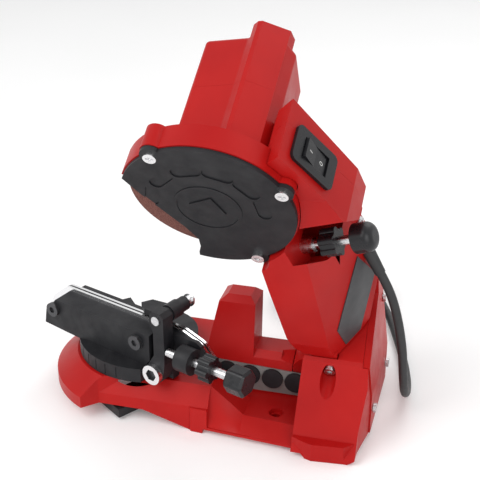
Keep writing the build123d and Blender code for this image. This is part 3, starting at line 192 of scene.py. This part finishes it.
# The chain rails are rolled strip, polished by the chains that slide along them.
rail_steel, rail_shader = new_material("rail_steel", (0.78, 0.78, 0.79), 0.16, 1.0)
wear_roughness(rail_steel, rail_shader, noise(rail_steel, 240, 4, (1, 1, 9)), 0.12, 0.26)
grain(rail_steel, rail_shader, noise(rail_steel, 900, 2, (1, 1, 14)), 0.00001, 0.3)
dress(rail_steel, "near_rail", "far_rail", "cover_screws", "stop_circlip")


# Screws, pins and shafts are zinc-plated steel, whose tone and gloss vary in fine flecks.
zinc_steel, zinc_shader = new_material("zinc_steel", (0.60, 0.60, 0.61), 0.30, 1.0)
tint(zinc_steel, zinc_shader, noise(zinc_steel, 320), (0.50, 0.50, 0.51), (0.66, 0.66, 0.67))
wear_roughness(zinc_steel, zinc_shader, noise(zinc_steel, 500), 0.22, 0.38)
dress(zinc_steel, "rear_cover_screws", "pivot_pin", "anchor_screw", "return_spring", "vise_axle",
      "axle_washer", "stop_pin", "adjusting_screw", "lock_screw", "shell_screws", "motor_cap_screws",
      "motor_bearings", "motor_shaft", "wheel_nut", "depth_seat", "depth_screw", "wheel_flanges")


# The jaw screws are blackened, and the motor's stator and rotor are dark steel too.
# The same dark material also serves as painted shade inside the lever bolt's socket below.
dark_steel, dark_shader = new_material("dark_steel", (0.075, 0.075, 0.080), 0.36, 0.8)
wear_roughness(dark_steel, dark_shader, noise(dark_steel, 260), 0.28, 0.46)
dress(dark_steel, "jaw_screws", "motor_stator", "rotor_core")


# The shoulder bolt of the stop lever has a bright turned head. Its hexagon socket gets the dark steel as
# painted shade in the recess.
dress(rail_steel, "lever_bolt")
bolt = nodes["lever_bolt"]
bolt.data.materials.append(dark_steel)
bolt_eye = vise_point(0, 36.5, 42.5)
shaded_socket_radius = 0.0047
# Faces within this radius of the bolt's axis are painted dark steel, as painted shade in the socket.
for face in bolt.data.polygons:
    from_eye = bolt.matrix_world @ face.center - bolt_eye
    aside = from_eye - vise_out * from_eye.dot(vise_out)
    if aside.length < shaded_socket_radius:
        face.material_index = 1


# The pivot bushes are sintered bronze, open-grained and oiled.
bronze, bronze_shader = new_material("bronze", (0.52, 0.36, 0.18), 0.42, 1.0)
tint(bronze, bronze_shader, noise(bronze, 700), (0.42, 0.28, 0.13), (0.56, 0.40, 0.20))
dress(bronze, "pivot_bushes")


# Feet, gland and lead are soft black rubber and PVC with a faint grain.
soft_black, soft_shader = new_material("soft_black", (0.016, 0.016, 0.017), 0.55)
wear_roughness(soft_black, soft_shader, noise(soft_black, 300), 0.48, 0.62)
grain(soft_black, soft_shader, noise(soft_black, 1200), 0.00003, 0.5)
dress(soft_black, "foot_pads", "cord_gland", "mains_cord", "cord_coil")


# The grinding wheel is resin-bonded grit, dark red-brown, with lighter grains scattered through it.
bonded_grit, grit_shader = new_material("bonded_grit", (0.15, 0.045, 0.035), 0.85)
tint(bonded_grit, grit_shader, noise(bonded_grit, 1400, 2), (0.085, 0.024, 0.020), (0.22, 0.085, 0.065))
grain(bonded_grit, grit_shader, noise(bonded_grit, 1700, 3), 0.0002, 0.9)
dress(bonded_grit, "grinding_wheel")


# The lead leaves the upright's outlet, falls behind the base and runs into a tied coil with its plug.
# It rides on the base, so it stays where it lies when the head comes down.
cord_diameter = 0.0064
cord_curve = bpy.data.curves.new("mains_lead", "CURVE")
cord_curve.dimensions = "3D"
cord_curve.bevel_depth = cord_diameter / 2
cord_curve.bevel_resolution = 5
route = [
    (10, 65.15, 121.4), (10, 72, 109.6), (10, 78.4, 90.6), (10, 83.5, 66), (10, 85.5, 44),
    (3.8, 86.3, 27.1), (-8.9, 86.6, 14.4), (-25.8, 86.2, 8.2), (-46, 83.5, 4.6), (-70, 78.5, 3.25),
    (-96, 71, 3.4), (-145.97, 54.57, 4.4)]
coil_middle = Vector((-160, 0, 0))
outer, inner = 41.6, 35.2
bottom, middle, top = 4.4, 10.8, 17.2
plug_height = 7.6
plug_angle = math.radians(160)
# Radius and height of the cord's centre, in millimetres, at stations round the coil, in degrees.
coil_way = {
    118: (outer, bottom), 418: (outer, bottom), 478: (inner, bottom), 718: (inner, bottom),
    778: (inner, middle), 1018: (inner, middle), 1078: (inner, top), 1318: (inner, top),
    1378: (outer, top), 1618: (outer, top), 1678: (outer, middle), 1880: (outer, middle),
    1960: (outer, plug_height)}
# The curve cuts the corners of its control points, so those stand this much further out.
corner_cut = 0.985
stations = sorted(coil_way)
coil_points = []
for degrees in range(118, 1950, 20):
    after = next(station for station in stations if station > degrees)
    before = stations[stations.index(after) - 1]
    share = (degrees - before) / (after - before)
    r = coil_way[before][0] + share * (coil_way[after][0] - coil_way[before][0])
    z = coil_way[before][1] + share * (coil_way[after][1] - coil_way[before][1])
    turned = math.radians(degrees)
    coil_points.append(coil_middle + Vector(
        (math.cos(turned) * r / corner_cut, math.sin(turned) * r / corner_cut, z)))
plug_side = Vector((math.cos(plug_angle), math.sin(plug_angle), 0))
plug_way = Vector((-plug_side.y, plug_side.x, 0))
plug_start = coil_middle + plug_side * outer + Vector((0, 0, plug_height))
ends = [plug_start, plug_start + plug_way * 6]
lead_points = [Vector(point) for point in route] + coil_points + ends
spline = cord_curve.splines.new("NURBS")
spline.points.add(len(lead_points) - 1)
for control, point in zip(spline.points, lead_points):
    control.co = (*(point / 1000), 1)
spline.order_u = 3
spline.use_endpoint_u = True
cord = bpy.data.objects.new("mains_lead", cord_curve)
bpy.context.scene.collection.objects.link(cord)
cord_curve.materials.append(soft_black)
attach(cord, "base")
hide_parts("mains_cord", "cord_coil")


# The rocker carries the usual ring and bar, stamped in pale paint.
mark_paint, mark_shader = new_material("mark_paint", (0.62, 0.62, 0.60), 0.5)
tint(mark_paint, mark_shader, noise(mark_paint, 900), (0.55, 0.55, 0.53), (0.66, 0.66, 0.64))
slope = math.radians(-56)
down_face = Vector((0, math.cos(slope), 0)) + rise * math.sin(slope)
off_face = across.cross(down_face)
rocker_tip = math.radians(9)
face_down = down_face * math.cos(rocker_tip) - off_face * math.sin(rocker_tip)
face_off = off_face * math.cos(rocker_tip) + down_face * math.sin(rocker_tip)
# The rocker's face is a shallow V: it rises from its middle to either end.
rocker_middle = head_point(27.3, 228.8, -13)
middle_height = 1.9
face_rise = 0.7 / 10.8
mark_reach = 6.0
paint_lift = 0.04
bar = [(-1.7, -0.3), (1.7, -0.3), (1.7, 0.3), (-1.7, 0.3)]
bar_faces = [(0, 1, 2, 3)]
sides = 32
ring = [(1.7 * math.cos(step * math.tau / sides), 1.3 * math.sin(step * math.tau / sides))
        for step in range(sides)]
hole = [(x * 0.7, y * 0.62) for x, y in ring]
ring_faces = [(i, (i + 1) % sides, sides + (i + 1) % sides, sides + i) for i in range(sides)]
for name, side, outline, faces in (
        ("rocker_bar", -1, bar, bar_faces), ("rocker_ring", 1, ring + hole, ring_faces)):
    lean = -side * math.atan(face_rise)
    along_mark = face_down * math.cos(lean) - face_off * math.sin(lean)
    up_mark = face_off * math.cos(lean) + face_down * math.sin(lean)
    height = middle_height + mark_reach * face_rise
    centre = rocker_middle + (face_down * side * mark_reach + face_off * height) / 1000
    points = [centre + (along_mark * x + across * y + up_mark * paint_lift) / 1000 for x, y in outline]
    mesh = bpy.data.meshes.new(name)
    mesh.from_pydata(points, [], faces)
    mesh.materials.append(mark_paint)
    mark = bpy.data.objects.new(name, mesh)
    bpy.context.scene.collection.objects.link(mark)
    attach(mark, "rocker")


# The bench is a pale seamless sheet that glows faintly, so it stays white out to the corners of the
# picture and still keeps the soft shadow under the base.
floor_mesh = bpy.data.meshes.new("floor")
half = 3.0
floor_mesh.from_pydata(
    [(-half, -half, 0), (half, -half, 0), (half, half, 0), (-half, half, 0)], [], [(0, 1, 2, 3)])
floor = bpy.data.objects.new("floor", floor_mesh)
bpy.context.scene.collection.objects.link(floor)
floor.location.z = -0.0004
paper_white = (0.92, 0.92, 0.92)
paper, paper_shader = new_material("paper", paper_white, 0.7)
tint(paper, paper_shader, noise(paper, 4), (0.90, 0.90, 0.90), paper_white)
paper_shader.inputs["Emission Color"].default_value = (1, 1, 1, 1)
paper_shader.inputs["Emission Strength"].default_value = 0.10
floor.data.materials.append(paper)

# Light comes from a broad bank above at the camera's left, a weaker one at its right, one behind the
# machine, and the room.
machine_middle = Vector((0, -0.04, 0.1))
for name, place, size, power in (
        ("key", (0.9, -0.9, 1.3), 1.2, 17),
        ("fill", (1.1, 0.9, 0.7), 1.0, 7),
        ("back", (-0.8, 0.4, 1.2), 1.0, 6)):
    lamp = bpy.data.objects.new(name, bpy.data.lights.new(name, "AREA"))
    bpy.context.scene.collection.objects.link(lamp)
    lamp.data.size = size
    lamp.data.energy = power
    lamp.location = place
    lamp.rotation_euler = (machine_middle - lamp.location).to_track_quat("-Z", "Y").to_euler()

# The room is white to the camera and in reflections, and lights the surfaces with about half of that.
room = bpy.data.worlds.new("room")
bpy.context.scene.world = room
room.use_nodes = True
tree = room.node_tree
rays = tree.nodes.new("ShaderNodeLightPath")
seen = tree.nodes.new("ShaderNodeMath")
seen.operation = "MAXIMUM"
tree.links.new(rays.outputs["Is Camera Ray"], seen.inputs[0])
tree.links.new(rays.outputs["Is Glossy Ray"], seen.inputs[1])
strength = tree.nodes.new("ShaderNodeMapRange")
strength.inputs["To Min"].default_value = 0.55
strength.inputs["To Max"].default_value = 1.0
tree.links.new(seen.outputs["Value"], strength.inputs["Value"])
tree.links.new(strength.outputs["Result"], tree.nodes["Background"].inputs["Strength"])
tree.nodes["Background"].inputs["Color"].default_value = (1, 1, 1, 1)
